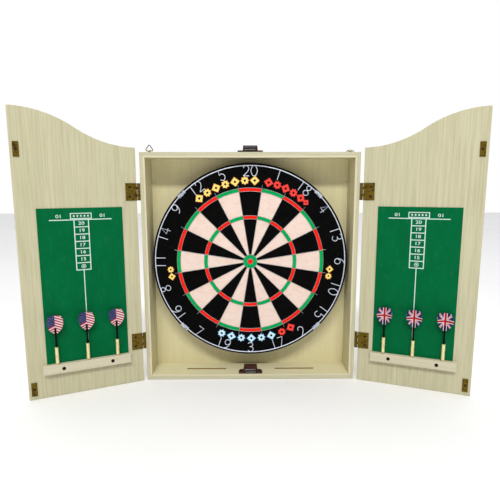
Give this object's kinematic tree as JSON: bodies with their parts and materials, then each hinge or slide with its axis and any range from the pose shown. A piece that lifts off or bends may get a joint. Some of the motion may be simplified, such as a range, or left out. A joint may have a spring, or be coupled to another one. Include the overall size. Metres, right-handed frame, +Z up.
{
  "type": "dart board cabinet",
  "caption": "Wall cabinet with two scalloped doors that open on a round bristle dart board; each door has a scoreboard and a rail of darts.",
  "frame": {"origin": "centre of the back panel's rear face, the face that rests on the wall", "axes": "+X to the right of someone facing the cabinet, +Y into the wall, +Z up"},
  "size_m": [0.9591, 0.182, 0.61],
  "materials": {
    "panel_foil": "cream wood-grain foil, satin",
    "back_panel_foil": "cream wood-grain foil, satin",
    "rail_foil": "pale cream foil, satin",
    "catch_plastic": "moulded, semi-gloss",
    "pole_steel": "plain cut steel",
    "magnet_ferrite": "dark ferrite, matt",
    "zinc_screw": "zinc plated",
    "hanger_steel": "brassed steel, dull",
    "bracket_steel": "zinc plated pressing",
    "antique_brass": "antique brass plate",
    "dark_brass_screw": "bronzed",
    "black_screw": "black oxide",
    "scoreboard_green": "matt printed sheet",
    "board_chipboard": "raw chipboard",
    "sisal": "compressed sisal, dyed segments",
    "rim_band": "black enamel band",
    "spider_wire": "bright drawn wire",
    "clip_chrome": "bright chrome",
    "number_wire": "white coated wire",
    "pad_rubber": "matt",
    "dart_brass": "turned brass, bright",
    "dart_nylon": "moulded nylon",
    "flight_stripes": "printed film, stripes and stars",
    "flight_crosses": "printed film, crossed bars"
  },
  "bodies": {
    "cabinet": {"top_panel": "panel_foil", "bottom_panel": "panel_foil", "left_side_panel": "panel_foil", "right_side_panel": "panel_foil", "back_panel": "back_panel_foil", "upper_catch_housing": "catch_plastic", "lower_catch_housing": "catch_plastic", "catch_pole_plates": "pole_steel", "catch_magnets": "magnet_ferrite", "catch_screws": "black_screw", "hanger_straps": "hanger_steel", "hanger_screws": "zinc_screw", "board_bracket": "bracket_steel", "bracket_screws": "zinc_screw", "hinge_cabinet_leaves": "antique_brass", "hinge_pins": "antique_brass", "hinge_cabinet_screws": "dark_brass_screw"},
    "left_hanger_ring": {"left_hanger_ring": "hanger_steel"},
    "right_hanger_ring": {"right_hanger_ring": "hanger_steel"},
    "board_hanger": {"hanging_screw": "zinc_screw"},
    "dartboard": {"board_backing": "board_chipboard", "board_sisal": "sisal", "board_rim_band": "rim_band", "board_spider": "spider_wire", "board_rest_pads": "pad_rubber", "number_ring_clips": "clip_chrome"},
    "number_ring": {"number_ring": "number_wire"},
    "left_door": {"left_door_panel": "panel_foil", "left_scoreboard": "scoreboard_green", "left_dart_rail": "rail_foil", "left_rail_screws": "black_screw", "left_strike_plates": "antique_brass", "left_hinge_leaves": "antique_brass", "left_brass_screws": "dark_brass_screw"},
    "right_door": {"right_door_panel": "panel_foil", "right_scoreboard": "scoreboard_green", "right_dart_rail": "rail_foil", "right_rail_screws": "black_screw", "right_strike_plates": "antique_brass", "right_hinge_leaves": "antique_brass", "right_brass_screws": "dark_brass_screw"},
    "left_dart_1": {"left_dart_1_barrel": "dart_brass", "left_dart_1_shaft": "dart_nylon", "left_dart_1_flight": "flight_stripes"},
    "left_dart_2": {"left_dart_2_barrel": "dart_brass", "left_dart_2_shaft": "dart_nylon", "left_dart_2_flight": "flight_stripes"},
    "left_dart_3": {"left_dart_3_barrel": "dart_brass", "left_dart_3_shaft": "dart_nylon", "left_dart_3_flight": "flight_stripes"},
    "right_dart_1": {"right_dart_1_barrel": "dart_brass", "right_dart_1_shaft": "dart_nylon", "right_dart_1_flight": "flight_crosses"},
    "right_dart_2": {"right_dart_2_barrel": "dart_brass", "right_dart_2_shaft": "dart_nylon", "right_dart_2_flight": "flight_crosses"},
    "right_dart_3": {"right_dart_3_barrel": "dart_brass", "right_dart_3_shaft": "dart_nylon", "right_dart_3_flight": "flight_crosses"}
  },
  "joints": [
    {"name": "left_door_hinge", "type": "hinge", "parent": "cabinet", "child": "left_door", "pos_m": [-0.2472, -0.07923, 0], "axis": [0, 0, -1], "range_deg": [-156.5, 23.5]},
    {"name": "right_door_hinge", "type": "hinge", "parent": "cabinet", "child": "right_door", "pos_m": [0.2472, -0.07923, 0], "axis": [0, 0, 1], "range_deg": [-159, 21]},
    {"name": "left_hanger_ring_pivot", "type": "hinge", "parent": "cabinet", "child": "left_hanger_ring", "pos_m": [-0.238, 0.0023, 0.2718], "axis": [1, 0, 0], "range_deg": [-180, 80]},
    {"name": "right_hanger_ring_pivot", "type": "hinge", "parent": "cabinet", "child": "right_hanger_ring", "pos_m": [0.238, 0.0023, 0.2718], "axis": [1, 0, 0], "range_deg": [0, 260]},
    {"name": "board_lift", "type": "slide", "parent": "cabinet", "child": "board_hanger", "axis": [0, 0, 1], "range_m": [0, 0.008]},
    {"name": "board_turn", "type": "hinge", "parent": "board_hanger", "child": "dartboard", "pos_m": [0, -0.016, 0.0155], "axis": [0, -1, 0], "continuous": true},
    {"name": "number_ring_pull", "type": "slide", "parent": "dartboard", "child": "number_ring", "axis": [0, -1, 0], "range_m": [0, 0.03]},
    {"name": "left_dart_1_draw", "type": "slide", "parent": "left_door", "child": "left_dart_1", "axis": [0.0174, -0.04, 0.999], "range_m": [0, 0.06]},
    {"name": "left_dart_2_draw", "type": "slide", "parent": "left_door", "child": "left_dart_2", "axis": [0.0174, -0.04, 0.999], "range_m": [0, 0.06]},
    {"name": "left_dart_3_draw", "type": "slide", "parent": "left_door", "child": "left_dart_3", "axis": [0.0174, -0.04, 0.999], "range_m": [0, 0.06]},
    {"name": "right_dart_1_draw", "type": "slide", "parent": "right_door", "child": "right_dart_1", "axis": [-0.0156, -0.0407, 0.999], "range_m": [0, 0.06]},
    {"name": "right_dart_2_draw", "type": "slide", "parent": "right_door", "child": "right_dart_2", "axis": [-0.0156, -0.0407, 0.999], "range_m": [0, 0.06]},
    {"name": "right_dart_3_draw", "type": "slide", "parent": "right_door", "child": "right_dart_3", "axis": [-0.0156, -0.0407, 0.999], "range_m": [0, 0.06]}
  ]
}
